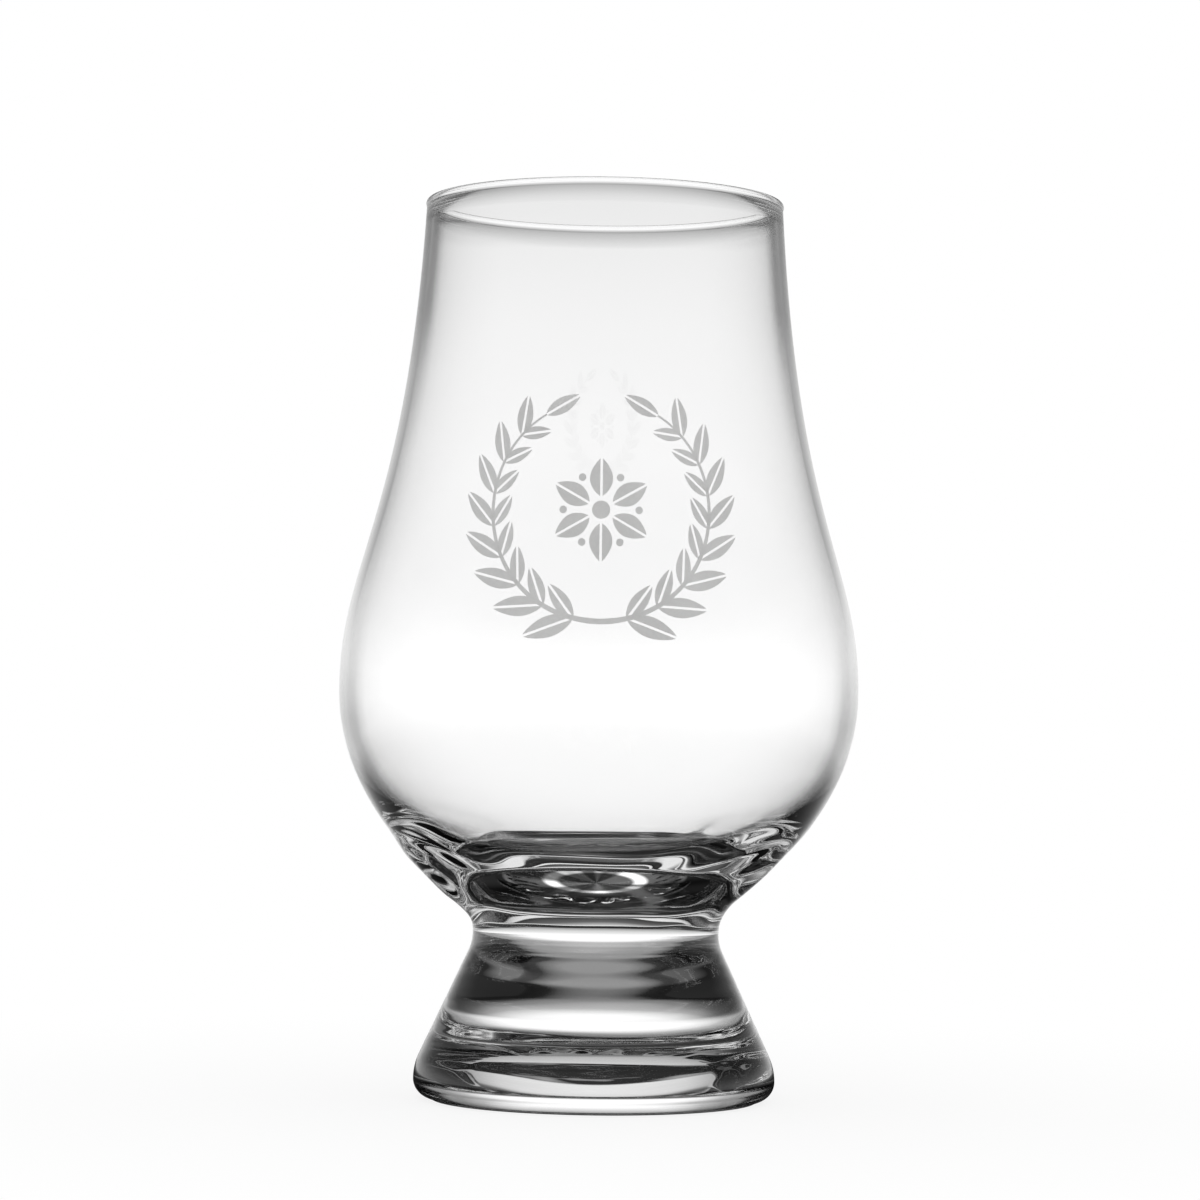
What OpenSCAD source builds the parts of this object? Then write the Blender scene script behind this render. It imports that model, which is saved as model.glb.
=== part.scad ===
// Whisky nosing glass: a tulip bowl blown with a thick solid bottom, fused at the waist to a pressed solid foot.
// Millimetres, +Z up, origin on the table at the centre of the foot. Both pieces are turned about Z.

/* [Foot] */
// Largest diameter of the foot, at its rounded edge
foot_d = 46.1; // [42:0.1:52]
// Radius of the rounding round the foot's lower edge, below its largest diameter
foot_edge_r = 2.35; // [1.5:0.05:3.5]
// Radius of the rounding above the foot's largest diameter, up to the flank
foot_side_r = 7.3; // [4:0.1:7.6]
// Width of the ground ring that the glass stands on
ring_w = 2.2; // [1:0.1:4]
// Height of the ground ring below the foot's rounded edge
ring_h = 0.2; // [0.1:0.05:0.6]
// Depth of the shallow hollow inside the ground ring
punt_depth = 1.2; // [0.4:0.1:2.5]

/* [Waist] */
// Height of the waist, where bowl and foot are fused
waist_h = 21.2; // [18:0.1:24]
// Diameter of the waist
waist_d = 31.4; // [29:0.2:34]
// Radius of the hollow curve round the waist
waist_r = 5.5; // [4:0.1:6.5]

/* [Bowl outside] */
// Height of the whole glass
glass_h = 115; // [105:0.5:125]
// Largest diameter of the bowl
bowl_d = 66.4; // [62:0.2:72]
// Height of the largest diameter above the table
belly_h = 52.1; // [50:0.1:56]
// Outer diameter of the mouth, just under its lip
mouth_d = 45.8; // [42:0.2:50]
// Lean of the bowl's underside from the vertical where it leaves the waist, in degrees
cone_lean = 52; // [46:0.5:56]
// Inward lean of the wall at the mouth, in degrees
mouth_lean = 3.2; // [0:0.1:6]
// How long the underside keeps its lean, as a share of the height from waist to belly
cone_share = 0.22; // [0.1:0.01:0.3]
// How long the underside runs upright into the belly, as a share of the same height
belly_low_share = 0.52; // [0.46:0.01:0.6]
// How long the belly runs upright into the chimney, outside and in, as a share of the height from belly to mouth
belly_high_share = 0.27; // [0.2:0.01:0.35]
// How long the chimney keeps the mouth's lean, as a share of the same height
chimney_share = 0.66; // [0.5:0.01:0.75]

/* [Bowl inside] */
// Wall at the mouth
mouth_wall = 1; // [0.8:0.05:1.6]
// Wall at the belly
belly_wall = 1; // [0.8:0.05:1.8]
// How far the fire-polished lip swells beyond each side of the wall
lip_bead = 0.1; // [0.05:0.01:0.25]
// Glass between the waist and the floor of the cavity
bottom_t = 5.8; // [5:0.1:9]
// How far the cavity's floor keeps level, as a share of the cavity's radius
floor_share = 0.59; // [0.4:0.01:0.6]
// How long the cavity runs upright below its largest diameter, as a share of the height from its floor to there
cavity_low_share = 0.63; // [0.45:0.01:0.65]

/* [Hidden] */
$fn = 180;
curve_steps = 24;
arc_steps = 10;
lip_steps = 14;
glass_tint = [0.86, 0.9, 0.9, 0.45];

// The flank of the foot is the straight line that touches its upper rounding and the hollow curve at the waist
edge_centre = [foot_d / 2 - foot_edge_r, ring_h + foot_edge_r];
side_centre = [foot_d / 2 - foot_side_r, edge_centre[1]];
waist_centre = [waist_d / 2 + waist_r, waist_h];
side_to_waist = waist_centre - side_centre;
flank_lean = atan2(side_to_waist[1], side_to_waist[0]) - acos((foot_side_r + waist_r) / norm(side_to_waist));

// The hollow under the foot is part of a ball through the ring's inner edge
punt_rim_r = edge_centre[0] - ring_w;
punt_ball_r = (punt_rim_r * punt_rim_r + punt_depth * punt_depth) / (2 * punt_depth);
punt_angle = asin(punt_rim_r / punt_ball_r);

// The lip is a bead on the middle of the wall at the mouth
lip_r = mouth_wall / 2 + lip_bead;
lip_angle = acos(mouth_wall / 2 / lip_r);
lip_centre = [mouth_d / 2 - mouth_wall / 2, glass_h - lip_r];
rim_h = lip_centre[1] - lip_r * sin(lip_angle);

// A point at a distance and an angle from a centre, the angle measured from outward to upward
function polar(centre, radius, angle) = centre + radius * [cos(angle), sin(angle)];

// Points of an arc between two angles, both ends included
function arc(centre, radius, from, to, steps) =
    [for (i = [0:steps]) polar(centre, radius, from + (to - from) * i / steps)];

// Points of a curve that leaves its first point along one handle and reaches its last along the other
function curve(p0, p1, p2, p3, steps) =
    [for (i = [0:steps]) let (t = i / steps, u = 1 - t)
        u * u * u * p0 + 3 * u * u * t * p1 + 3 * u * t * t * p2 + t * t * t * p3];

// Direction that leans outward from straight up by an angle
function leaning(angle) = [sin(angle), cos(angle)];

// Outside of the bowl from the end of the hollow curve to the lip
cone_start = polar(waist_centre, -waist_r, -cone_lean);
belly_out = [bowl_d / 2, belly_h];
rim_out = [mouth_d / 2, rim_h];
under_height = belly_h - cone_start[1];
chimney_height = rim_h - belly_h;
under_curve = curve(
    cone_start,
    cone_start + cone_share * under_height * leaning(cone_lean),
    belly_out - [0, belly_low_share * under_height],
    belly_out,
    curve_steps
);
chimney_curve = curve(
    belly_out,
    belly_out + [0, belly_high_share * chimney_height],
    rim_out - chimney_share * chimney_height * leaning(-mouth_lean),
    rim_out,
    curve_steps
);

// Inside of the bowl from the lip down to the floor of the cavity
belly_in = belly_out - [belly_wall, 0];
rim_in = rim_out - [mouth_wall, 0];
floor_h = waist_h + bottom_t;
cavity_side = curve(
    rim_in,
    rim_in - chimney_share * chimney_height * leaning(-mouth_lean),
    belly_in + [0, belly_high_share * chimney_height],
    belly_in,
    curve_steps
);
cavity_floor = curve(
    belly_in,
    belly_in - [0, cavity_low_share * (belly_h - floor_h)],
    [floor_share * belly_in[0], floor_h],
    [0, floor_h],
    curve_steps
);

module bowl() {
    color(glass_tint)
    rotate_extrude()
    polygon(concat(
        [[0, waist_h]],
        arc(waist_centre, -waist_r, 0, -cone_lean, arc_steps),
        [for (i = [1:curve_steps]) under_curve[i]],
        [for (i = [1:curve_steps]) chimney_curve[i]],
        [for (i = [1:lip_steps - 1])
            polar(lip_centre, lip_r, -lip_angle + (180 + 2 * lip_angle) * i / lip_steps)],
        cavity_side,
        [for (i = [1:curve_steps]) cavity_floor[i]]
    ));
}

module foot() {
    color(glass_tint)
    rotate_extrude()
    polygon(concat(
        arc([0, punt_depth - punt_ball_r], punt_ball_r, 90, 90 - punt_angle, arc_steps),
        [[edge_centre[0], 0]],
        arc(edge_centre, foot_edge_r, -90, 0, arc_steps),
        [for (i = [1:arc_steps]) polar(side_centre, foot_side_r, flank_lean * i / arc_steps)],
        arc(waist_centre, -waist_r, flank_lean, 0, arc_steps),
        [[0, waist_h]]
    ));
}

bowl();
foot();
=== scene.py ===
# %% [markdown]
# # A whisky nosing glass in clear glass
#
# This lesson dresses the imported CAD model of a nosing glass: a tulip-shaped bowl with a thick solid
# bottom, fused at a narrow waist to a short solid foot. Glass has almost no colour of its own. What
# the eye reads as glass is what it bends and mirrors, so the lesson is about three things: true
# surfaces, both outside and inside, a material that behaves at grazing angles as glass does, and a
# studio that gives it something to bend.
#
# The CAD model is loaded first, as a fixed frame. Every piece made later is in metres in that same
# frame.

# %% Load the frame
import math

import bpy
import numpy as np
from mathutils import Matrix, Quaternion, Vector


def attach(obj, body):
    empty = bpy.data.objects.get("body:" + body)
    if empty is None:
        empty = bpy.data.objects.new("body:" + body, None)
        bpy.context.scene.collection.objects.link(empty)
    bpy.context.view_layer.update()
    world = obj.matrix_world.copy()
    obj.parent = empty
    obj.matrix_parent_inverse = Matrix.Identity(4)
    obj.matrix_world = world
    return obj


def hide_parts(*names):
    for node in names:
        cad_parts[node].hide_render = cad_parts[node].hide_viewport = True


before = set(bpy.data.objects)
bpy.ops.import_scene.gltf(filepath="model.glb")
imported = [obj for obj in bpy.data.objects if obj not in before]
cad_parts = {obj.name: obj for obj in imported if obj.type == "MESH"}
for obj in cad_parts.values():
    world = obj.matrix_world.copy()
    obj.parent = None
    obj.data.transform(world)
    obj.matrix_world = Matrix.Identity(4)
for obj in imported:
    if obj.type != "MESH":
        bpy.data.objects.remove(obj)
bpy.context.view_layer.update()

# %% [markdown]
# ## The sizes of the glass
#
# A glass of revolution is drawn as a half outline, so its sizes are few: some diameters, some
# heights, the wall and the radii of its roundings. They are the sizes of the CAD model, turned into
# metres. Reading them off the CAD mesh would be another way, but that mesh is made of flat facets,
# and glass shows every facet as a kink in what is seen through it. Worked out from the sizes, the
# same curve can be drawn as finely as it needs.

# %% Name the sizes
MM = 0.001

# The foot: its widest radius, the roundings below and above its edge, the ground ring, the hollow
FOOT_R = 23.05 * MM
FOOT_EDGE_R = 2.35 * MM
FOOT_SIDE_R = 7.3 * MM
RING_W = 2.2 * MM
RING_H = 0.2 * MM
PUNT_DEPTH = 1.2 * MM

# The waist: its height, its radius, and the radius of its hollow curve
WAIST_H = 21.2 * MM
WAIST_R = 15.7 * MM
WAIST_HOLLOW_R = 5.5 * MM

# The bowl outside: heights, radii, leans, and the reach of its curves' handles, as shares
GLASS_H = 115 * MM
BELLY_R = 33.2 * MM
BELLY_H = 52.1 * MM
MOUTH_R = 22.9 * MM
CONE_LEAN = math.radians(52)
MOUTH_LEAN = math.radians(3.2)
CONE_SHARE, BELLY_LOW_SHARE = 0.22, 0.52
BELLY_HIGH_SHARE, CHIMNEY_SHARE = 0.27, 0.66

# The wall, the bead of the lip, and the floor of the cavity with the reach of its curve's handles
WALL = 1 * MM
LIP_R = 0.6 * MM
FLOOR_H = 27 * MM
FLOOR_SHARE, CAVITY_LOW_SHARE = 0.59, 0.63
print("height", GLASS_H, "belly radius", BELLY_R, "foot radius", FOOT_R)

# %% [markdown]
# ## Arcs and curves
#
# Two kinds of line are enough for the whole outline. An arc rounds the foot's edge, the waist and
# the lip. A cubic curve with two handles carries the belly and the chimney, where the wall was
# blown and has no radius that stays the same. Both are computed as whole arrays of points (radius,
# height).

# %% Draw arcs and curves
RIGHT_ANGLE = math.pi / 2
UP = np.array([0, 1])


def arc(centre, radius, start, end, steps):
    """Points on a circle round the centre, the angle even from start to end, 0 outward, 90 up."""
    angle = np.linspace(start, end, steps + 1)
    return np.array(centre) + radius * np.stack([np.cos(angle), np.sin(angle)], axis=1)


def curve(first, handle_1, handle_2, last, steps):
    """Cubic curve: the four points weighted by (1-t)^3, 3t(1-t)^2, 3t^2(1-t) and t^3."""
    t = np.linspace(0, 1, steps + 1)[:, None]
    return (
        (1 - t) ** 3 * first + 3 * t * (1 - t) ** 2 * handle_1
        + 3 * t**2 * (1 - t) * handle_2 + t**3 * last
    )


def leaning(angle):
    """Direction that leans outward from straight up by the angle."""
    return np.array([math.sin(angle), math.cos(angle)])


# %% [markdown]
# ## The outline of the foot
#
# The foot is pressed in a mould: a solid cone with a rounded lower edge. The glass doesn't stand on
# all of its underside but on a narrow ground ring, with a shallow hollow inside it, so that it
# can't rock. The straight flank isn't given by an angle. It is the one line that touches both the
# rounding above the foot's edge and the hollow curve at the waist, found from the distance between
# the two centres.

# %% Centres and angles of the foot
edge_centre = np.array([FOOT_R - FOOT_EDGE_R, RING_H + FOOT_EDGE_R])
side_centre = np.array([FOOT_R - FOOT_SIDE_R, RING_H + FOOT_EDGE_R])
waist_centre = np.array([WAIST_R + WAIST_HOLLOW_R, WAIST_H])
apart = waist_centre - side_centre
flank_lean = math.atan2(apart[1], apart[0])
flank_lean -= math.acos((FOOT_SIDE_R + WAIST_HOLLOW_R) / np.hypot(*apart))

punt_rim_r = edge_centre[0] - RING_W
punt_ball_r = (punt_rim_r**2 + PUNT_DEPTH**2) / (2 * PUNT_DEPTH)
punt_angle = math.asin(punt_rim_r / punt_ball_r)
print("flank leans", round(math.degrees(flank_lean), 2), "degrees")

# %% Outline of the foot, from the middle of its underside to the middle of the waist
PUNT_STEPS, RING_STEPS, RING_WALL_STEPS = 140, 4, 2
EDGE_STEPS, SIDE_STEPS, FLANK_STEPS, FOOT_WAIST_STEPS = 24, 16, 80, 16

punt_centre = [0, PUNT_DEPTH - punt_ball_r]
punt = arc(punt_centre, punt_ball_r, RIGHT_ANGLE, RIGHT_ANGLE - punt_angle, PUNT_STEPS)
ring = np.linspace([punt_rim_r, 0], [edge_centre[0], 0], RING_STEPS + 1)
ring_wall = np.linspace([edge_centre[0], 0], [edge_centre[0], RING_H], RING_WALL_STEPS + 1)
foot_edge = arc(edge_centre, FOOT_EDGE_R, -RIGHT_ANGLE, 0, EDGE_STEPS)
foot_side = arc(side_centre, FOOT_SIDE_R, 0, flank_lean, SIDE_STEPS)
foot_waist = arc(waist_centre, -WAIST_HOLLOW_R, flank_lean, 0, FOOT_WAIST_STEPS)
flank = np.linspace(foot_side[-1], foot_waist[0], FLANK_STEPS + 1)
seam_centre = np.array([[0, WAIST_H]])
foot_outline = np.concatenate([
    punt, ring[1:], ring_wall[1:], foot_edge[1:], foot_side[1:], flank[1:-1], foot_waist,
    seam_centre,
])
print("the foot's outline has", len(foot_outline), "points")

# %% [markdown]
# ## The outline of the bowl
#
# The bowl is blown from one gather of hot glass, so its wall changes thickness smoothly: one
# millimetre at the mouth and the belly, and then more and more until the bottom is solid. The
# outline runs up the outside, over the bead that the flame leaves at the lip, and down the inside
# to the floor of the cavity. It ends on the axis at both ends, so the turned surface closes by
# itself.

# %% Points and handles of the bowl
lip_angle = math.acos(WALL / 2 / LIP_R)
lip_centre = np.array([MOUTH_R - WALL / 2, GLASS_H - LIP_R])
rim_h = lip_centre[1] - LIP_R * math.sin(lip_angle)
rim_out, rim_in = np.array([MOUTH_R, rim_h]), np.array([MOUTH_R - WALL, rim_h])
belly_out, belly_in = np.array([BELLY_R, BELLY_H]), np.array([BELLY_R - WALL, BELLY_H])
chimney_h = rim_h - BELLY_H
chimney_pull = CHIMNEY_SHARE * chimney_h * leaning(-MOUTH_LEAN)
belly_pull = BELLY_HIGH_SHARE * chimney_h * UP
print("the chimney is", round(chimney_h / MM, 2), "mm high")

# %% Outline of the bowl, from the middle of the waist to the middle of the cavity's floor
BOWL_WAIST_STEPS, UNDER_STEPS, CHIMNEY_STEPS, LIP_STEPS, CAVITY_STEPS = 24, 64, 56, 20, 72

bowl_waist = arc(waist_centre, -WAIST_HOLLOW_R, 0, -CONE_LEAN, BOWL_WAIST_STEPS)
cone_start = bowl_waist[-1]
under_h = BELLY_H - cone_start[1]
under = curve(
    cone_start, cone_start + CONE_SHARE * under_h * leaning(CONE_LEAN),
    belly_out - BELLY_LOW_SHARE * under_h * UP, belly_out, UNDER_STEPS,
)
chimney = curve(belly_out, belly_out + belly_pull, rim_out - chimney_pull, rim_out, CHIMNEY_STEPS)
lip = arc(lip_centre, LIP_R, -lip_angle, math.pi + lip_angle, LIP_STEPS)
cavity_side = curve(rim_in, rim_in - chimney_pull, belly_in + belly_pull, belly_in, CHIMNEY_STEPS)
cavity_floor = curve(
    belly_in, belly_in - CAVITY_LOW_SHARE * (BELLY_H - FLOOR_H) * UP,
    np.array([FLOOR_SHARE * belly_in[0], FLOOR_H]), np.array([0, FLOOR_H]), CAVITY_STEPS,
)
outside = np.concatenate([bowl_waist, under[1:], chimney[1:]])
inside = np.concatenate([cavity_side, cavity_floor[1:]])
bowl_outline = np.concatenate([seam_centre, outside, lip[1:-1], inside])
volume = abs(np.trapz(math.pi * inside[:, 0] ** 2, inside[:, 1]))
print("the cavity holds", round(volume * 1e6, 1), "ml to the brim;", len(bowl_outline), "points")

# %% [markdown]
# ## The hand of the glassmaker
#
# Real glass is never quite round. The chilled skin of a blown gather keeps slow waves, strongest at
# two opposite sides, where the shears cut it, and they bend the dark room into curls in the thick
# bottom of the bowl. A bump in the material could stand for them, but true relief also shows from
# the inside, so it is put into the surface. The relief is a sum of sines with seeded directions and
# starts.

# %% Sums of sines
WAVE_REACH = 20 * MM


def smooth_step(x, low, high):
    """0 below low, 1 above high, and 3u^2 - 2u^3 between them."""
    u = np.clip((x - low) / (high - low), 0, 1)
    return u * u * (3 - 2 * u)


def drawn(seed, turn_range, climb_range, count):
    """Waves by the seed, each with turns round the axis, a climb in radians a metre, a start."""
    draws = np.random.default_rng(seed)
    turns = draws.integers(*turn_range, count)
    climbs = draws.uniform(*climb_range, count)
    starts = draws.uniform(0, 2 * math.pi, count)
    return list(zip(turns.tolist(), climbs.tolist(), starts.tolist()))


def slope_sum(waves, turn, along, reach):
    """Sum of sin(turns turn + climb along + start), each over its own steepness at the reach."""
    total = 0
    for turns, climb, start in waves:
        steepness = math.hypot(turns / reach, climb)
        total = total + np.sin(turns * turn + climb * along + start) / steepness
    return total


# %% Waves in the bowl's thick bottom
WAVE_SEED, WAVE_COUNT, WAVE_TURNS, WAVE_CLIMBS = 33, 16, (1, 12), (-750, 750)
WAVE_SLOPE, CALM_SHARE = 0.06, 0.1
WAVES_START = (WAIST_H + 1 * MM, WAIST_H + 5 * MM)
WAVES_END = (29 * MM, 35 * MM)
INNER_START, INNER_PART = (2 * MM, 12 * MM), 6

bottom_waves = drawn(WAVE_SEED, WAVE_TURNS, WAVE_CLIMBS, WAVE_COUNT)
print(len(bottom_waves), "waves in the solid bottom")


def bowl_waves(turn, r, z):
    """The radius grows by the waves, in full outside and by a sixth inside.

    Round the axis they count as CALM_SHARE + (1 - CALM_SHARE) cos^2 turn says.
    """
    hold = smooth_step(z, *WAVES_START) * (1 - smooth_step(z, *WAVES_END))
    inner = np.arange(len(r))[:, None] > len(outside) + len(lip)
    hold = hold * np.where(inner, smooth_step(r, *INNER_START) / INNER_PART, 1)
    hold = hold * (CALM_SHARE + (1 - CALM_SHARE) * np.cos(turn) ** 2)
    waves = slope_sum(bottom_waves, turn, z, WAVE_REACH)
    return r + WAVE_SLOPE * hold * waves, z


# %% [markdown]
# ## Rings and spokes of the foot
#
# The pressed foot keeps fine rings round its flank, where the glass crept along the mould. Its
# hollow underside, which nobody polishes, keeps short spokes inside the ground ring. They are sums
# of sines too. The spokes may never reach the table, or the glass would stand on them, so their
# depth is held to a share of the hollow's.

# %% Rings round the flank and spokes under the foot
RING_SEED, RING_COUNT, RING_TURNS, RING_CLIMBS = 5, 10, (-2, 3), (1300, 4200)
RING_SLOPE = 0.007
FLANK_START, FLANK_END = (4 * MM, 7 * MM), (17 * MM, 20 * MM)
OUTSIDE_R = (14 * MM, 15 * MM)

SPOKE_SEED, SPOKE_COUNT, SPOKE_TURNS, SPOKE_CLIMBS = 8, 14, (9, 38), (-1200, 1200)
SPOKE_SLOPE, SPOKE_REACH = 0.14, 14 * MM
SPOKES_START, SPOKES_END = (10 * MM, 12 * MM), (14 * MM, 17 * MM)
RIM_FADE, LOWEST_SHARE = 0.5 * MM, 0.8

flank_rings = drawn(RING_SEED, RING_TURNS, RING_CLIMBS, RING_COUNT)
hollow_spokes = drawn(SPOKE_SEED, SPOKE_TURNS, SPOKE_CLIMBS, SPOKE_COUNT)
print(len(flank_rings), "rings on the flank,", len(hollow_spokes), "spokes in the hollow")


def foot_relief(turn, r, z):
    """The radius grows by the rings on the flank, and the height by the spokes in the hollow.

    The spokes lower the hollow by LOWEST_SHARE of its height at most.
    """
    on_flank = smooth_step(z, *FLANK_START) * (1 - smooth_step(z, *FLANK_END))
    on_flank = on_flank * smooth_step(r, *OUTSIDE_R)
    rings = slope_sum(flank_rings, turn, z, WAVE_REACH)
    in_hollow = (z < PUNT_DEPTH + RING_H) * (1 - smooth_step(r, punt_rim_r - RIM_FADE, punt_rim_r))
    held = smooth_step(r, *SPOKES_START) * (1 - smooth_step(r, *SPOKES_END))
    spokes = slope_sum(hollow_spokes, turn, r, SPOKE_REACH)
    lift = np.maximum(in_hollow * SPOKE_SLOPE * held * spokes, -LOWEST_SHARE * z)
    return r + RING_SLOPE * on_flank * rings, z + lift


# %% [markdown]
# ## Turning an outline into a closed surface
#
# A lathe cuts every point of an outline once round the axis. Here the outline's points between its
# two ends on the axis become rings of a grid, and each end becomes a single point that closes the
# surface with a fan of triangles. The Screw modifier would turn it too, but a grid keeps hold of
# every point, which the relief needs.

# %% Turn an outline
TURN_STEPS = 320
SHARP_EDGE = math.radians(35)


def ring_quads(count, sides):
    """Quads between neighbouring rings: two points of one ring, and the two beyond them."""
    row = np.arange(count - 1)[:, None] * sides
    here, there = np.arange(sides), (np.arange(sides) + 1) % sides
    corners = [row + here, row + there, row + sides + there, row + sides + here]
    return np.stack(corners, axis=-1).reshape(-1, 4)


def end_fans(count, sides):
    """Triangles that join the first and the last ring to two end points, numbered after them."""
    here, there = np.arange(sides), (np.arange(sides) + 1) % sides
    first_end, last_ring = count * sides, (count - 1) * sides
    low = np.stack([np.full(sides, first_end), there, here], axis=-1)
    high = np.stack([np.full(sides, first_end + 1), last_ring + here, last_ring + there], axis=-1)
    return np.concatenate([low, high])


def new_piece(name, points, faces):
    """An object in the scene, at the origin, whose mesh has these points and lists of corners."""
    mesh = bpy.data.meshes.new(name)
    mesh.from_pydata(points.tolist(), [], faces)
    piece = bpy.data.objects.new(name, mesh)
    bpy.context.scene.collection.objects.link(piece)
    print(name, "has", len(mesh.polygons), "faces")
    return piece


def turned(name, outline, relief):
    """Point (r, z) goes to (r' cos a, r' sin a, z') for every angle a; the relief gives r', z'."""
    rings = outline[1:-1]
    angle = np.linspace(0, 2 * math.pi, TURN_STEPS, endpoint=False)[None, :] + 0 * rings[:, :1]
    r, z = relief(angle, rings[:, :1] + 0 * angle, rings[:, 1:] + 0 * angle)
    grid = np.stack([r * np.cos(angle), r * np.sin(angle), z], axis=-1).reshape(-1, 3)
    ends = np.array([[0, 0, z[0].mean()], [0, 0, z[-1].mean()]])
    quads, fans = ring_quads(len(rings), TURN_STEPS), end_fans(len(rings), TURN_STEPS)

    piece = new_piece(name, np.concatenate([grid, ends]), quads.tolist() + fans.tolist())
    piece.data.polygons.foreach_set("use_smooth", np.ones(len(piece.data.polygons), dtype=bool))
    piece.data.set_sharp_from_angle(angle=SHARP_EDGE)
    piece.data.update()
    return piece


# %% [markdown]
# ## Building materials
#
# A material is a tree of nodes. It can be drawn by hand in the Shader Editor, but a few small
# helpers make it readable as text: one adds a node with its values, one joins sockets, one makes a
# ramp of grey levels from places and levels in real units, and one carries a range of values over
# to another.

# %% Helpers for materials
WHITE = (1, 1, 1, 1)

# A Mix node has the colours that it mixes, their result, and plain numbers at these sockets
COLOUR_A, COLOUR_B, COLOUR_OUT = 6, 7, 2
NUMBER_A, NUMBER_B = 2, 3


def add(tree, kind, values=None, **settings):
    """A new node of that kind: first its properties are set, then the values of its inputs."""
    node = tree.nodes.new("ShaderNode" + kind)
    for key, value in settings.items():
        setattr(node, key, value)
    for socket, value in (values or {}).items():
        node.inputs[socket].default_value = value
    return node


def link(tree, *pairs):
    """Joins the output of each pair to its input."""
    for output, socket in pairs:
        tree.links.new(output, socket)


def colour_ramp(tree, stops):
    """A Color Ramp with these (position, colour) stops."""
    node = add(tree, "ValToRGB")
    elements = node.color_ramp.elements
    while len(elements) > 1:
        elements.remove(elements[-1])
    elements[0].position, elements[0].color = stops[0][0], (*stops[0][1], 1)
    for position, colour in stops[1:]:
        elements.new(position).color = (*colour, 1)
    return node


def grey_ramp(tree, stops, low=0, high=1):
    """A Color Ramp of grey levels, whose (place, level) stops lie on a scale from low to high."""
    greys = [((place - low) / (high - low), (level,) * 3) for place, level in stops]
    return colour_ramp(tree, greys)


def span(tree, from_range, to_range=(0, 1), **settings):
    """A Map Range node that carries one range over to the other."""
    sockets = ("From Min", "From Max", "To Min", "To Max")
    return add(tree, "MapRange", dict(zip(sockets, (*from_range, *to_range))), **settings)


def new_material(name):
    """A material with one Principled BSDF, and its node tree."""
    material = bpy.data.materials.new(name)
    material.use_nodes = True
    tree = material.node_tree
    return material, tree, tree.nodes["Principled BSDF"]


# %% [markdown]
# ## Clear glass
#
# Glass needs full transmission, no roughness and an index of refraction of 1.52, all plain values.
# What is left is the studio. A photographer stands dark cards close to the glass, so that light
# which leaves it at a slant finds black: the walls get their dark edges and the solid foot its dark
# belts. Cards in the scene would be right from one side only. Here the material paints their shade
# into the glass's colour instead, from every side. The Layer Weight node knows how slanted a ray is
# where it leaves the glass, and a ramp turns that into painted shade, the share of light that it
# finds. At a blend of a half, the node gives one less the cosine of the slant. Rays that enter find
# all the light, with no painted shade.

# %% The clear glass
GLASS_IOR = 1.52
FACING_BLEND = 0.5


def clear_glass(name, slant_shade_stops):
    """Plain glass that is white for rays that enter it.

    Also gives its tree, the level of painted shade that the stops name for the slant, and the
    socket that colours the rays that leave.
    """
    material, tree, shader = new_material(name)
    shader.inputs["Transmission Weight"].default_value = 1
    shader.inputs["Roughness"].default_value = 0
    shader.inputs["IOR"].default_value = GLASS_IOR
    facing = add(tree, "LayerWeight", {"Blend": FACING_BLEND})
    side = add(tree, "NewGeometry")
    # Painted shade: this ramp darkens the glass's colour for rays that leave at a slant
    leave = grey_ramp(tree, slant_shade_stops)
    choose = add(tree, "Mix", {COLOUR_A: WHITE}, data_type="RGBA")
    link(
        tree,
        (facing.outputs["Facing"], leave.inputs["Fac"]),
        (side.outputs["Backfacing"], choose.inputs[0]),
        (choose.outputs[COLOUR_OUT], shader.inputs["Base Color"]),
    )
    return material, tree, leave.outputs["Color"], choose.inputs[COLOUR_B]


# %% [markdown]
# ## The bowl's glass
#
# The painted shade of the cards beside the bowl leaves a gap at the height of its shoulders, where
# the edge of the glass is pale. So a second ramp, by height in millimetres, says how much of the
# first one's painted shade counts.

# %% Glass of the bowl
# Painted shade of the bowl's glass, by the slant of a leaving ray
BOWL_SLANT_SHADE = [
    (0, 1), (0.08, 1), (0.123, 0.97), (0.15, 0.94), (0.171, 0.91), (0.194, 0.85),
    (0.209, 0.76), (0.223, 0.36), (0.2305, 0.1), (0.24, 0.05), (0.2465, 0.15),
]
BOWL_CARD_SHADE = [
    (0, 0.85), (48, 0.85), (54, 0.55), (59, 0.3), (64, 0.15), (82, 0.15), (92, 0.45), (100, 0.9),
    (115, 1),
]

blown_glass, tree, level, leaving = clear_glass("blown clear glass", BOWL_SLANT_SHADE)
place = add(tree, "TexCoord")
split = add(tree, "SeparateXYZ")
share = add(tree, "Math", {1: GLASS_H}, operation="DIVIDE")
# Painted shade of the cards by height, weakest at the shoulders
card_shade = grey_ramp(tree, BOWL_CARD_SHADE, 0, GLASS_H / MM)
bowl_painted_shade = add(tree, "Mix", {COLOUR_A: WHITE}, data_type="RGBA")
link(
    tree,
    (place.outputs["Object"], split.inputs[0]),
    (split.outputs["Z"], share.inputs[0]),
    (share.outputs[0], card_shade.inputs["Fac"]),
    (card_shade.outputs["Color"], bowl_painted_shade.inputs[0]),
    (level, bowl_painted_shade.inputs[COLOUR_B]),
    (bowl_painted_shade.outputs[COLOUR_OUT], leaving),
)
print(blown_glass.name, "has", len(tree.nodes), "nodes")
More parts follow.
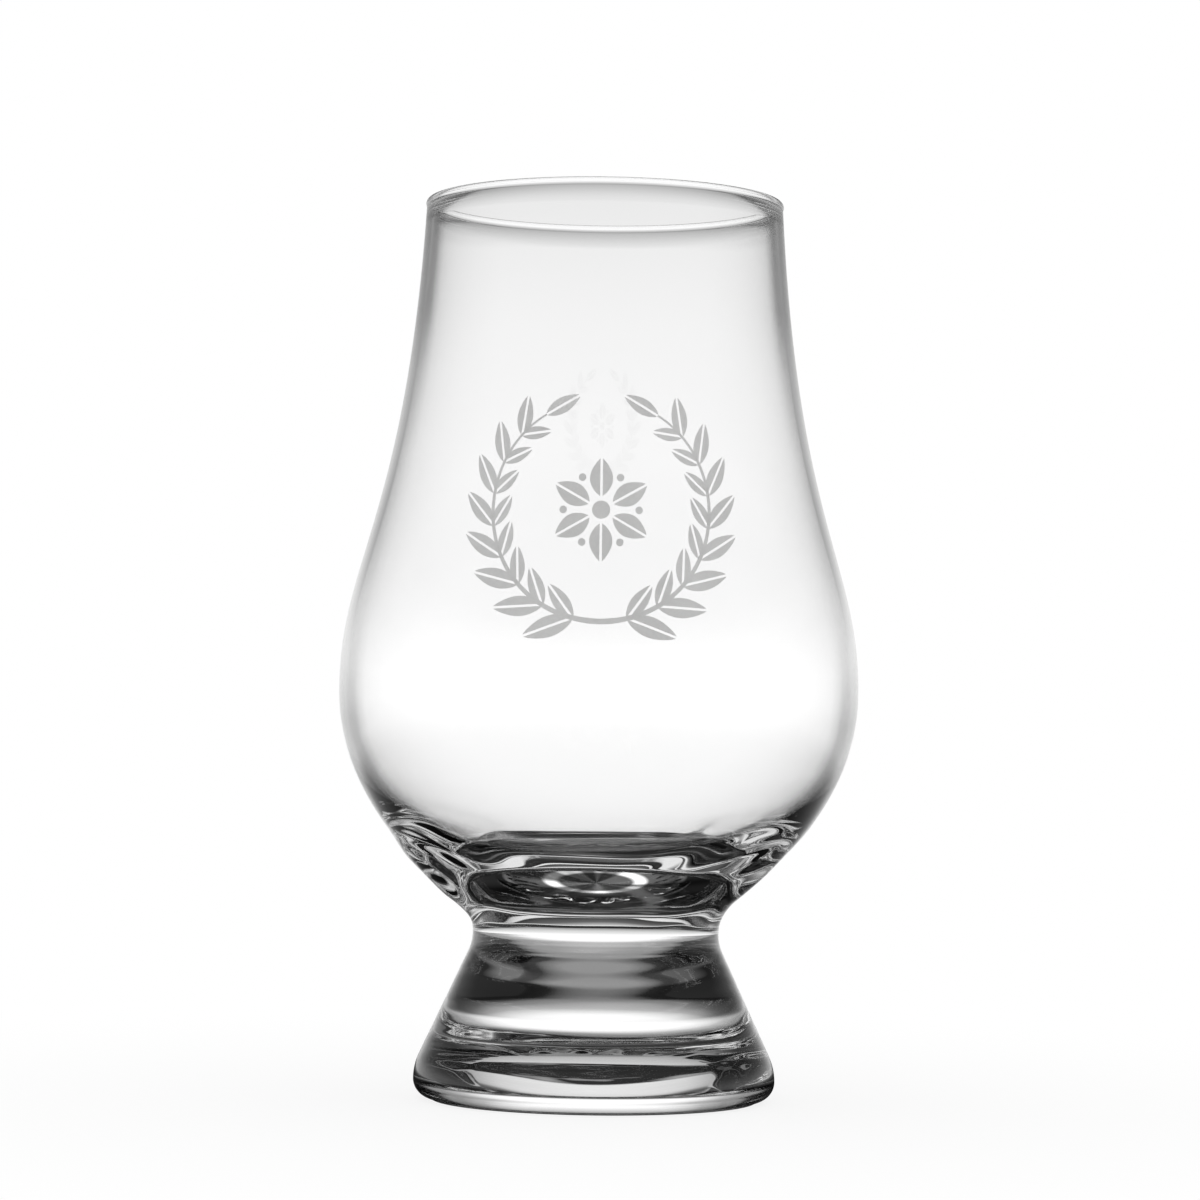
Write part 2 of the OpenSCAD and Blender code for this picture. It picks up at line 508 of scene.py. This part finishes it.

# %% [markdown]
# ## The foot's glass, with a painted dark belt
#
# Light that was mirrored under the foot and leaves low on its flank gets a painted dark belt, a
# painted shade in the glass's colour. It starts sharply a few millimetres above the table, and fine
# level streaks of painted light run through it. A ring of dark glass would be wrong for the light
# that passes straight through, so the Light Path node picks the mirrored rays by their glossy depth,
# and a noise stretched along the belt gives the painted streaks.

# %% Where the belt lies
# Painted shade by the slant of a leaving ray, as in the bowl's glass
FOOT_SLANT_SHADE = [
    (0, 1), (0.04, 1), (0.06, 0.96), (0.086, 0.66), (0.12, 0.24), (0.163, 0.09),
    (0.195, 0.08), (0.204, 0.045), (0.221, 0.0015), (0.2465, 0.0002),
]
BELT_LOW, BELT_FADE, BELT_HIGH, BELT_EDGE = 4.6 * MM, 9 * MM, 12 * MM, 0.1 * MM

pressed_glass, tree, level, leaving = clear_glass("pressed clear glass", FOOT_SLANT_SHADE)
place = add(tree, "TexCoord")
split = add(tree, "SeparateXYZ")
rays = add(tree, "LightPath")
# The painted dark belt, for mirrored rays only
begin = span(tree, (BELT_LOW - BELT_EDGE, BELT_LOW + BELT_EDGE), interpolation_type="SMOOTHSTEP")
end = span(tree, (BELT_HIGH, BELT_FADE), interpolation_type="SMOOTHSTEP")
belt = add(tree, "Math", operation="MULTIPLY")
in_shade_belt = add(tree, "Math", operation="MULTIPLY", use_clamp=True)
link(
    tree,
    (place.outputs["Object"], split.inputs[0]),
    (split.outputs["Z"], begin.inputs["Value"]),
    (split.outputs["Z"], end.inputs["Value"]),
    (begin.outputs["Result"], belt.inputs[0]),
    (end.outputs["Result"], belt.inputs[1]),
    (belt.outputs[0], in_shade_belt.inputs[0]),
    (rays.outputs["Glossy Depth"], in_shade_belt.inputs[1]),
)
print("the belt lies from", BELT_LOW / MM, "to", BELT_HIGH / MM, "mm")

# %% Streaks in the belt
STREAK_SCALE, STREAK_STRETCH, STREAK_DETAIL = 90, 6, 3
STREAK_SPAN, STREAK_LEVELS = (0.55, 0.66), (0.001, 0.4)

# Painted light: streaks that lift the painted shade of the belt
stretch = add(tree, "VectorMath", {1: (1, 1, STREAK_STRETCH)}, operation="MULTIPLY")
streaks = add(tree, "TexNoise", {"Scale": STREAK_SCALE, "Detail": STREAK_DETAIL})
streak_level = span(tree, STREAK_SPAN, STREAK_LEVELS)
shaded = add(tree, "Mix", {NUMBER_A: 1})
link(
    tree,
    (place.outputs["Object"], stretch.inputs[0]),
    (stretch.outputs[0], streaks.inputs["Vector"]),
    (streaks.outputs["Fac"], streak_level.inputs["Value"]),
    (in_shade_belt.outputs[0], shaded.inputs[0]),
    (streak_level.outputs["Result"], shaded.inputs[NUMBER_B]),
)
print("streaks between", *STREAK_LEVELS)

# %% [markdown]
# ## The hollow, and the parts joined
#
# Mirrored rays that leave through the hollow underneath meet no dark card, so no painted shade is
# taken from them there. The two parts of painted shade are then multiplied, and what comes out
# colours the rays that leave.

# %% Join the parts of the foot's glass
# No painted shade for mirrored rays that leave through the hollow
in_hollow = add(tree, "Math", {1: PUNT_DEPTH + RING_H}, operation="LESS_THAN")
no_painted_shade = add(tree, "Math", operation="MULTIPLY", use_clamp=True)
beside = add(tree, "Mix", {COLOUR_B: WHITE}, data_type="RGBA")
times = add(tree, "Mix", {0: 1}, data_type="RGBA", blend_type="MULTIPLY")
link(
    tree,
    (split.outputs["Z"], in_hollow.inputs[0]),
    (in_hollow.outputs[0], no_painted_shade.inputs[0]),
    (rays.outputs["Glossy Depth"], no_painted_shade.inputs[1]),
    (no_painted_shade.outputs[0], beside.inputs[0]),
    (level, beside.inputs[COLOUR_A]),
    (beside.outputs[COLOUR_OUT], times.inputs[COLOUR_A]),
    (shaded.outputs[0], times.inputs[COLOUR_B]),
    (times.outputs[COLOUR_OUT], leaving),
)
print(pressed_glass.name, "has", len(tree.nodes), "nodes")

# %% [markdown]
# ## The fused seam
#
# The bowl and the foot are two pieces of glass that were joined hot. At the waist their flat discs
# lie face to face, and in the real glass nothing is seen there, because light passes from glass
# into glass without bending. Leaving the discs out would open both meshes. Instead they get a
# finish with no opacity at all, so a ray goes straight on, inside the glass.

# %% The seam's finish
SEAM_REACH = 1e-7

seam_finish, _, seam_shader = new_material("fused seam")
seam_shader.inputs["Alpha"].default_value = 0
seam_shader.inputs["Roughness"].default_value = 0
seam_shader.inputs["Specular IOR Level"].default_value = 0


def finish_seam(piece, glass):
    """All faces get the glass, and those flat on the waist's disc the seam's finish."""
    mesh = piece.data
    mesh.materials.append(glass)
    mesh.materials.append(seam_finish)
    places = np.empty(len(mesh.vertices) * 3)
    mesh.vertices.foreach_get("co", places)
    on_disc = np.abs(places[2::3] - WAIST_H) < SEAM_REACH
    corners = np.empty(len(mesh.loops), dtype=np.int32)
    mesh.loops.foreach_get("vertex_index", corners)
    first_corners = np.empty(len(mesh.polygons), dtype=np.int32)
    mesh.polygons.foreach_get("loop_start", first_corners)
    in_seam = np.logical_and.reduceat(on_disc[corners], first_corners).astype(np.int32)
    mesh.polygons.foreach_set("material_index", in_seam)
    print(piece.name, "has", in_seam.sum(), "seam faces")


# %% [markdown]
# ## The two pieces of glass
#
# Now each outline is turned with its own relief, gets its glass and its seam, and takes the place
# of the CAD node that it shows: the bowl, blown, and the foot, pressed. Nothing on this glass
# moves, so both ride on the root.

# %% Make the bowl and the foot
bowl_glass = turned("bowl_glass", bowl_outline, bowl_waves)
finish_seam(bowl_glass, blown_glass)
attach(bowl_glass, "root")
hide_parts("bowl")

foot_glass = turned("foot_glass", foot_outline, foot_relief)
finish_seam(foot_glass, pressed_glass)
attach(foot_glass, "root")
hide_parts("foot")

# %% [markdown]
# ## A sandblasted wreath
#
# Tasting glasses often carry a mark that was sandblasted through a stencil. Here it is a plain
# laurel wreath round a small rosette. A texture could paint it, but a stencil cuts sharp edges, so
# each leaf is a real shape. The leaves are drawn flat first, in metres to the right and up from the
# middle of the mark. Every leaf is two half blades, with the clear line of the midrib between them.

# %% Draw leaves, dots and stems on the flat
MIDRIB, TIP = 0.3 * MM, 0.02 * MM
LEAF_FULLNESS, LEAF_TAPER, STEM_TAPER = 0.8, 0.25, 2 / 3
LEAF_STEPS, BLADE_STEPS, STEM_STEPS, BAND_STEPS = 14, 4, 48, 2


def shares(steps, low, high, across_steps):
    """Grid of the share s along a shape, from 0 to 1, and t across it, from low to high."""
    along, across = np.linspace(0, 1, steps + 1), np.linspace(low, high, across_steps + 1)
    return np.meshgrid(along, across, indexing="ij")


def half_blade(start, heading, length, half_width, side):
    """At the share s it reaches from the midrib to half_width sin(pi s)^fullness (1 - taper s)."""
    s, t = shares(LEAF_STEPS, 0, 1, BLADE_STEPS)
    swell = half_width * np.sin(math.pi * s) ** LEAF_FULLNESS * (1 - LEAF_TAPER * s)
    across = side * (MIDRIB / 2 + t * (TIP + swell))
    ahead = np.array([math.cos(heading), math.sin(heading)])
    aside = np.array([-math.sin(heading), math.cos(heading)])
    return start + (length * s)[..., None] * ahead + across[..., None] * aside


def leaf(start, heading, length, half_width):
    """Both half blades of a leaf."""
    return [half_blade(start, heading, length, half_width, side) for side in (-1, 1)]


def dot(centre, radius):
    """A disc: at the share s of its width, -radius cos(pi s), it is 2 radius sin(pi s) high."""
    s, t = shares(LEAF_STEPS, -1, 1, BLADE_STEPS)
    up = t * (TIP + radius * np.sin(math.pi * s))
    return [centre + np.stack([-radius * np.cos(math.pi * s), up], axis=-1)]


def stem(radius, start, end, width):
    """A band along a circle, from its full width down to a third of it."""
    s, t = shares(STEM_STEPS, -0.5, 0.5, BAND_STEPS)
    angle = start + (end - start) * s
    away = radius + t * width * (1 - STEM_TAPER * s)
    return [np.stack([away * np.cos(angle), away * np.sin(angle)], axis=-1)]


# %% [markdown]
# ## The layout of the mark
#
# Pairs of leaves follow each branch from the bottom of the circle to its open top and grow smaller
# on the way, and one last leaf points along the branch. The left branch is the mirror image of the
# right one. In the middle stands a rosette of petals, with a dot between each two of them and a
# round heart.

# %% Lay out the wreath
WREATH_R = 13.6 * MM
STEM_WIDTH = 0.7 * MM
LEAF_PAIRS = 8
STEM_START, LEAVES_START, BRANCH_END = math.radians(-97), math.radians(-76), math.radians(60)
OUTER_LEAF = {"length": 6.4 * MM, "half_width": 1.25 * MM, "spread": math.radians(-34)}
INNER_LEAF = {"length": 4.9 * MM, "half_width": 0.95 * MM, "spread": math.radians(40)}
TOP_SHARE = 0.72


def towards(angle):
    """Direction on the flat, 0 to the right and 90 degrees up."""
    return np.array([math.cos(angle), math.sin(angle)])


shapes = stem(WREATH_R, STEM_START, BRANCH_END, STEM_WIDTH)
leaf_angles = np.linspace(LEAVES_START, BRANCH_END, LEAF_PAIRS + 1).tolist()
leaf_sizes = np.linspace(1, TOP_SHARE, LEAF_PAIRS + 1).tolist()
for angle, size in zip(leaf_angles, leaf_sizes):
    start, ahead = WREATH_R * towards(angle), angle + RIGHT_ANGLE
    at_end = angle == BRANCH_END
    for kind in [OUTER_LEAF] if at_end else [OUTER_LEAF, INNER_LEAF]:
        spread = 0 if at_end else kind["spread"]
        shapes += leaf(start, ahead + spread, kind["length"] * size, kind["half_width"] * size)
shapes += [shape * [-1, 1] for shape in shapes]
print("the wreath has", len(shapes), "openings in its stencil")

# %% Lay out the rosette
PETALS = 6
PETAL_FROM, PETAL_LENGTH, PETAL_HALF_WIDTH = 1.7 * MM, 4.6 * MM, 1.4 * MM
DOT_AT, DOT_R, HEART_R = 4.6 * MM, 0.45 * MM, 1.1 * MM

for petal in range(PETALS):
    heading = RIGHT_ANGLE + 2 * math.pi * petal / PETALS
    shapes += leaf(PETAL_FROM * towards(heading), heading, PETAL_LENGTH, PETAL_HALF_WIDTH)
    shapes += dot(DOT_AT * towards(heading + math.pi / PETALS), DOT_R)
shapes += dot(np.zeros(2), HEART_R)
print("with the rosette", len(shapes), "openings")

# %% [markdown]
# ## Wrapping the mark round the bowl
#
# The flat shapes are bent round the bowl as a stencil of soft rubber is: the way to the right
# becomes a way round the axis, and the height stays. Each becomes a closed skin, four hundredths of
# a millimetre thick and just clear of the glass, so that the two surfaces never lie in the same
# place. A Shrinkwrap modifier could lay them on, but the bowl's own outline gives the place at
# once.

# %% Wrap the flat shapes round the bowl
MARK_H = 73.6 * MM
SKIN_LOW, SKIN_HIGH = 0.01 * MM, 0.05 * MM
chimney_lean = np.gradient(chimney[:, 0], chimney[:, 1])


def on_bowl(flat, lift):
    """Turns by the way to the right over the bowl's radius at that height, and lifts off it."""
    z = MARK_H + flat[:, 1]
    r, lean = np.interp(z, chimney[:, 1], chimney[:, 0]), np.interp(z, chimney[:, 1], chimney_lean)
    turn = flat[:, 0] / r - RIGHT_ANGLE
    r, z = r + lift / np.hypot(1, lean), z - lift * lean / np.hypot(1, lean)
    return np.stack([r * np.cos(turn), r * np.sin(turn), z], axis=-1)


def skin(shape):
    """Points and outward faces of a closed skin over a flat shape: outer side, inner side, edge."""
    rows, columns = shape.shape[:2]
    ahead = shape[-1].mean(axis=0) - shape[0].mean(axis=0)
    middle = shape[rows // 2, -1] - shape[rows // 2, 0]
    if ahead[0] * middle[1] - ahead[1] * middle[0] < 0:
        shape = shape[:, ::-1]
    flat = shape.reshape(-1, 2)
    points = np.concatenate([on_bowl(flat, SKIN_HIGH), on_bowl(flat, SKIN_LOW)])
    index = np.arange(rows * columns).reshape(rows, columns)
    a, b, c, d = index[:-1, :-1], index[1:, :-1], index[1:, 1:], index[:-1, 1:]
    outer = np.stack([a, b, c, d], axis=-1).reshape(-1, 4)
    edge = np.concatenate([index[:-1, 0], index[-1, :-1], index[:0:-1, -1], index[0, :0:-1]])
    after = np.roll(edge, -1)
    inner = outer[:, ::-1] + rows * columns
    wall = np.stack([edge, edge + rows * columns, after + rows * columns, after], axis=-1)
    return points, np.concatenate([outer, inner, wall])


# %% Make the wreath
skins = [skin(shape) for shape in shapes]
firsts = np.cumsum([0] + [len(points) for points, _ in skins])[:-1]
skin_points = np.concatenate([points for points, _ in skins])
skin_faces = np.concatenate([faces + first for (_, faces), first in zip(skins, firsts)])
wreath = new_piece("frosted_wreath", skin_points, skin_faces.tolist())
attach(wreath, "root")

# %% [markdown]
# ## Sandblasted glass
#
# Grit leaves thousands of tiny chips, so the glass turns a matt pale grey. Half of the light that
# falls on it is sent back, and half comes out on the other side, so the mark is seen from behind
# too. Its grain is a very fine noise, in the colour and in the relief. A rough transmission would
# be another way, but it would show the dark parts of the studio behind it, and real frosting is far
# too coarse for that.

# %% Greys and chips of the frost
FROST_ROUGHNESS, FROST_SPECULAR = 0.9, 0.25
FROST_GREYS = [(0.3, (0.82, 0.82, 0.815)), (0.5, (0.87, 0.87, 0.865)), (0.7, (0.92, 0.92, 0.915))]
GRAIN_SCALE, GRAIN_DETAIL, CLOUD_SCALE = 4000, 4, 140
CHIP_STRENGTH, CHIP_DEPTH = 0.3, 0.02 * MM

frost, tree, shader = new_material("sandblasted glass")
shader.inputs["Roughness"].default_value = FROST_ROUGHNESS
shader.inputs["IOR"].default_value = GLASS_IOR
shader.inputs["Specular IOR Level"].default_value = FROST_SPECULAR
place = add(tree, "TexCoord")
grain = add(tree, "TexNoise", {"Scale": GRAIN_SCALE, "Detail": GRAIN_DETAIL})
cloud = add(tree, "TexNoise", {"Scale": CLOUD_SCALE})
both = add(tree, "Math", operation="ADD")
mean = add(tree, "Math", {1: 0.5}, operation="MULTIPLY")
grey = colour_ramp(tree, FROST_GREYS)
chips = add(tree, "Bump", {"Strength": CHIP_STRENGTH, "Distance": CHIP_DEPTH})
link(
    tree,
    (place.outputs["Object"], grain.inputs["Vector"]),
    (place.outputs["Object"], cloud.inputs["Vector"]),
    (grain.outputs["Fac"], both.inputs[0]),
    (cloud.outputs["Fac"], both.inputs[1]),
    (both.outputs[0], mean.inputs[0]),
    (mean.outputs[0], grey.inputs["Fac"]),
    (grey.outputs["Color"], shader.inputs["Base Color"]),
    (grain.outputs["Fac"], chips.inputs["Height"]),
    (chips.outputs["Normal"], shader.inputs["Normal"]),
)
print("frost greys:", FROST_GREYS)

# %% Light that comes out on the other side
LET_THROUGH = 0.5

through = add(tree, "BsdfTranslucent")
scatter = add(tree, "MixShader", {"Fac": LET_THROUGH})
link(
    tree,
    (grey.outputs["Color"], through.inputs["Color"]),
    (shader.outputs["BSDF"], scatter.inputs[1]),
    (through.outputs["BSDF"], scatter.inputs[2]),
    (scatter.outputs[0], tree.nodes["Material Output"].inputs["Surface"]),
)
wreath.data.materials.append(frost)
print(frost.name, "has", len(tree.nodes), "nodes")

# %% [markdown]
# ## The studio
#
# The world is the light and the backdrop at once. The camera sees it plain white. Diffuse surfaces
# are lit by an even pale sky, at which a colour renders about as it is written. Glass sees a
# studio, and which one depends on the way of the ray. One that is only bent sees a white backdrop
# that dims gently above the horizon. Once mirrored, it sees a bright horizon under a dark ceiling.
# Mirrored twice, it also sees a long soft box above the horizon, which draws the fine bright lines
# in the solid bottom. Lamps and cards could be placed for this camera, but a world that changes
# with height alone looks the same from every side.
#
# The levels go by the elevation in degrees, from straight down to straight up.

# %% Levels of the studio by elevation
DOWN, STRAIGHT_UP = -90, 90
BACKDROP_STOPS = [
    (-90, 1.12), (1, 1.12), (4, 1.06), (6.5, 0.98), (7.5, 0.92), (8.7, 0.86), (12, 0.8), (24, 0.5),
    (40, 0.25), (90, 0.15),
]
MIRRORED_STOPS = [(-90, 0.9), (3, 0.9), (12, 0.3), (22, 0.06), (90, 0.01)]
DEEP_STOPS = [
    (-90, 0.9), (3, 0.9), (12, 0.15), (20.5, 0.04), (21.5, 1), (27, 1), (28, 0.04), (90, 0.02),
]

world = bpy.data.worlds.new("studio")
world.use_nodes = True
bpy.context.scene.world = world
tree = world.node_tree
tree.nodes.clear()
direction = add(tree, "TexCoord")
split = add(tree, "SeparateXYZ")
elevation = add(tree, "Math", operation="ARCSINE")
share = span(tree, (-RIGHT_ANGLE, RIGHT_ANGLE))
backdrop = grey_ramp(tree, BACKDROP_STOPS, DOWN, STRAIGHT_UP)
mirrored = grey_ramp(tree, MIRRORED_STOPS, DOWN, STRAIGHT_UP)
deep = grey_ramp(tree, DEEP_STOPS, DOWN, STRAIGHT_UP)
link(
    tree,
    (direction.outputs["Generated"], split.inputs[0]),
    (split.outputs["Z"], elevation.inputs[0]),
    (elevation.outputs[0], share.inputs["Value"]),
    (share.outputs["Result"], backdrop.inputs["Fac"]),
    (share.outputs["Result"], mirrored.inputs["Fac"]),
    (share.outputs["Result"], deep.inputs["Fac"]),
)
print("backdrop levels by elevation:", BACKDROP_STOPS)

# %% What glass sees, by how often the ray was mirrored
rays = add(tree, "LightPath")
second = add(tree, "Math", {1: 1}, operation="SUBTRACT")
choose = add(tree, "Mix", data_type="RGBA")
choose_deep = add(tree, "Mix", data_type="RGBA")
seen_by_glass = add(tree, "Background")
link(
    tree,
    (rays.outputs["Glossy Depth"], second.inputs[0]),
    (second.outputs[0], choose_deep.inputs[0]),
    (mirrored.outputs["Color"], choose_deep.inputs[COLOUR_A]),
    (deep.outputs["Color"], choose_deep.inputs[COLOUR_B]),
    (rays.outputs["Glossy Depth"], choose.inputs[0]),
    (backdrop.outputs["Color"], choose.inputs[COLOUR_A]),
    (choose_deep.outputs[COLOUR_OUT], choose.inputs[COLOUR_B]),
    (choose.outputs[COLOUR_OUT], seen_by_glass.inputs["Color"]),
)
print("a mirrored ray sees", MIRRORED_STOPS, "and one mirrored twice", DEEP_STOPS)

# %% What diffuse surfaces and the camera see
SKY_LEVEL = 0.9

sky = add(tree, "Background", {"Color": WHITE, "Strength": SKY_LEVEL})
seen_by_camera = add(tree, "Background", {"Color": WHITE})
through_glass = add(tree, "Math", operation="MAXIMUM")
mix_glass = add(tree, "MixShader")
mix_camera = add(tree, "MixShader")
output = add(tree, "OutputWorld")
link(
    tree,
    (rays.outputs["Is Glossy Ray"], through_glass.inputs[0]),
    (rays.outputs["Is Transmission Ray"], through_glass.inputs[1]),
    (through_glass.outputs[0], mix_glass.inputs["Fac"]),
    (sky.outputs[0], mix_glass.inputs[1]),
    (seen_by_glass.outputs[0], mix_glass.inputs[2]),
    (rays.outputs["Is Camera Ray"], mix_camera.inputs["Fac"]),
    (mix_glass.outputs[0], mix_camera.inputs[1]),
    (seen_by_camera.outputs[0], mix_camera.inputs[2]),
    (mix_camera.outputs[0], output.inputs["Surface"]),
)
print("the sky's level is", SKY_LEVEL)

# %% [markdown]
# ## The floor
#
# The floor is a pale disc that shades off into the white backdrop, so its edge is never seen. A
# square plane would do too, but its corners would reach further than its sides. The disc is made of
# rings, as a turned piece is, laid flat, with their faces the other way round so that they look up.
# The floor is stage, not a piece of the glass.

# %% Make the floor
FLOOR_RADII = (0.03, 0.06, 0.1, 0.2, 0.5, 1.5)
FLOOR_SIDES = 96

turn = np.linspace(0, 2 * math.pi, FLOOR_SIDES, endpoint=False)
floor_x, floor_y = np.outer(FLOOR_RADII, np.cos(turn)), np.outer(FLOOR_RADII, np.sin(turn))
floor_points = np.stack([floor_x, floor_y, np.zeros_like(floor_x)], axis=-1).reshape(-1, 3)
floor_rings = ring_quads(len(FLOOR_RADII), FLOOR_SIDES)[:, [0, 3, 2, 1]]
floor = new_piece("floor", floor_points, [list(range(FLOOR_SIDES))] + floor_rings.tolist())

# %% [markdown]
# ## The floor as glass sees it
#
# Seen straight through the glass, the floor is dark in a ring round the foot's edge, where the foot
# stands in its own shade, and white from there on. The light that was mirrored inside the glass
# falls on the floor under the hollow. The hollow gathers it into a bright ring with faint rays, as
# any thick glass does on a table, and the solid bottom shows that ring again as a bright oval.
# Tracing such a gathering of light takes very long, so the floor's finish holds it as painted light:
# two ramps by the distance from the axis, in millimetres, and a noise by the direction for the rays.
# Near the glass, mirrored rays find the floor painted dark; far from it, they find the white floor
# again.

# %% Light and shade under the glass
NEAR_R = 40 * MM
SHADE_STOPS = [
    (0, 0.8), (17, 0.8), (19.5, 0.1), (26.5, 0.1), (28, 0.35), (29, 0.75), (30, 1), (31.5, 1.12),
]
# Painted light of the gathered ring under the hollow, with painted shade round it
GATHERED_STOPS = [
    (0, 0.1), (6.2, 0.1), (7.2, 1), (8.6, 1), (9.6, 0.1), (14, 0.06), (15.6, 0.04), (16.2, 0.12),
    (16.9, 0.12), (17.5, 0.015),
]

floor_finish = bpy.data.materials.new("pale floor")
floor_finish.use_nodes = True
floor.data.materials.append(floor_finish)
tree = floor_finish.node_tree
tree.nodes.clear()
place = add(tree, "TexCoord")
distance = add(tree, "VectorMath", operation="LENGTH")
near = add(tree, "Math", {1: NEAR_R}, operation="DIVIDE")
ring_shade = grey_ramp(tree, SHADE_STOPS, 0, NEAR_R / MM)
gathered = grey_ramp(tree, GATHERED_STOPS, 0, NEAR_R / MM)
link(
    tree,
    (place.outputs["Object"], distance.inputs[0]),
    (distance.outputs["Value"], near.inputs[0]),
    (near.outputs[0], ring_shade.inputs["Fac"]),
    (near.outputs[0], gathered.inputs["Fac"]),
)
print("shade by distance:", SHADE_STOPS)

# %% Rays of the gathered light, and the floor far off
RAY_SCALE, RAY_DETAIL = 1.6, 1
RAY_SPAN, RAY_LEVELS = (0.4, 0.6), (0.2, 1.5)
# Painted shade near the glass for mirrored rays, white far off
FAR_SPAN, FAR_LEVELS = (0.03, 0.3), (0, 0.88)

way = add(tree, "VectorMath", operation="NORMALIZE")
light_rays = add(tree, "TexNoise", {"Scale": RAY_SCALE, "Detail": RAY_DETAIL})
ray_level = span(tree, RAY_SPAN, RAY_LEVELS)
rayed = add(tree, "Mix", {0: 1}, data_type="RGBA", blend_type="MULTIPLY")
far_level = span(tree, FAR_SPAN, FAR_LEVELS, interpolation_type="SMOOTHSTEP")
for_mirrored = add(tree, "Mix", {0: 1}, data_type="RGBA", blend_type="ADD")
link(
    tree,
    (place.outputs["Object"], way.inputs[0]),
    (way.outputs[0], light_rays.inputs["Vector"]),
    (light_rays.outputs["Fac"], ray_level.inputs["Value"]),
    (gathered.outputs["Color"], rayed.inputs[COLOUR_A]),
    (ray_level.outputs["Result"], rayed.inputs[COLOUR_B]),
    (distance.outputs["Value"], far_level.inputs["Value"]),
    (rayed.outputs[COLOUR_OUT], for_mirrored.inputs[COLOUR_A]),
    (far_level.outputs["Result"], for_mirrored.inputs[COLOUR_B]),
)
print("gathered light by distance:", GATHERED_STOPS)

# %% [markdown]
# ## The floor as the camera sees it
#
# The camera sees a matt floor with the soft shadow of the foot, mixed with pure white, more and
# more with the distance. Light Path chooses: rays from the camera get that mix, rays in glass the
# levels made above, and diffuse light a plain matt floor.

# %% The floor's finish
MATT_GREY = (0.95, 0.95, 0.95, 1)
FADE_SPAN, FADE_LEVELS = (0.02, 0.16), (0.85, 1)

rays = add(tree, "LightPath")
matt = add(tree, "BsdfDiffuse", {"Color": MATT_GREY})
white = add(tree, "Emission", {"Color": WHITE})
fade = span(tree, FADE_SPAN, FADE_LEVELS, interpolation_type="SMOOTHSTEP")
for_camera = add(tree, "Math", operation="MULTIPLY")
mix_camera = add(tree, "MixShader")
floor_level = add(tree, "Mix", data_type="RGBA")
seen_by_glass = add(tree, "Emission")
through_glass = add(tree, "Math", operation="MAXIMUM")
mix_glass = add(tree, "MixShader")
output = add(tree, "OutputMaterial")
link(
    tree,
    (distance.outputs["Value"], fade.inputs["Value"]),
    (fade.outputs["Result"], for_camera.inputs[0]),
    (rays.outputs["Is Camera Ray"], for_camera.inputs[1]),
    (for_camera.outputs[0], mix_camera.inputs["Fac"]),
    (matt.outputs[0], mix_camera.inputs[1]),
    (white.outputs[0], mix_camera.inputs[2]),
    (rays.outputs["Glossy Depth"], floor_level.inputs[0]),
    (ring_shade.outputs["Color"], floor_level.inputs[COLOUR_A]),
    (for_mirrored.outputs[COLOUR_OUT], floor_level.inputs[COLOUR_B]),
    (floor_level.outputs[COLOUR_OUT], seen_by_glass.inputs["Color"]),
    (rays.outputs["Is Glossy Ray"], through_glass.inputs[0]),
    (rays.outputs["Is Transmission Ray"], through_glass.inputs[1]),
    (through_glass.outputs[0], mix_glass.inputs["Fac"]),
    (mix_camera.outputs[0], mix_glass.inputs[1]),
    (seen_by_glass.outputs[0], mix_glass.inputs[2]),
    (mix_glass.outputs[0], output.inputs["Surface"]),
)
print(floor_finish.name, "has", len(tree.nodes), "nodes")

# %% [markdown]
# ## The camera
#
# The photograph was taken from a little below the middle of the glass, about half a metre away: the
# mouth is seen from just below, the foot from just above. The camera stands there and is turned,
# not shifted, until the glass has its place in the square picture. It leans to one side by less
# than a degree, as the photograph does.

# %% The camera's place and lens
PICTURE = 1200
METRES_PER_PIXEL = 0.0001282
SENSOR_WIDTH = 36
CAMERA_DISTANCE = 0.48
CAMERA_H = 0.046
NEAREST = 0.01

camera_data = bpy.data.cameras.new("camera")
camera_data.sensor_width = SENSOR_WIDTH
camera_data.lens = SENSOR_WIDTH * CAMERA_DISTANCE / METRES_PER_PIXEL / PICTURE
camera_data.clip_start = NEAREST
camera = bpy.data.objects.new("camera", camera_data)
bpy.context.scene.collection.objects.link(camera)
camera.location = (0, -CAMERA_DISTANCE, CAMERA_H)
print("lens", round(camera_data.lens, 1), "mm")

# %% Turn the camera to the glass
BASE_ROW, BASE_COLUMN = 1097.5, 595.26
COLUMNS_PER_MM = 0.1024
ROLL = math.radians(0.75)

axis_column = BASE_COLUMN + COLUMNS_PER_MM * CAMERA_H / MM
target_x = (PICTURE / 2 - axis_column) * METRES_PER_PIXEL
target_z = (BASE_ROW - PICTURE / 2) * METRES_PER_PIXEL
target = Vector((target_x, 0, target_z))
look = (target - camera.location).to_track_quat("-Z", "Y")
camera.rotation_mode = "QUATERNION"
camera.rotation_quaternion = look @ Quaternion((0, 0, 1), ROLL)
bpy.context.scene.camera = camera
print("the camera looks at", [round(value, 4) for value in target])

# %% [markdown]
# ## Light paths and view
#
# A ray in solid glass is bent and mirrored many times before it leaves, and one that is cut short
# turns black, so the paths may be long. The Standard view shows colours as they are.

# %% Light paths and view
BENDS, MIRRORINGS = 32, 12

bpy.context.scene.view_settings.view_transform = "Standard"
bpy.context.scene.cycles.max_bounces = BENDS
bpy.context.scene.cycles.transmission_bounces = BENDS
bpy.context.scene.cycles.glossy_bounces = MIRRORINGS
print("paths of up to", BENDS, "bounces")
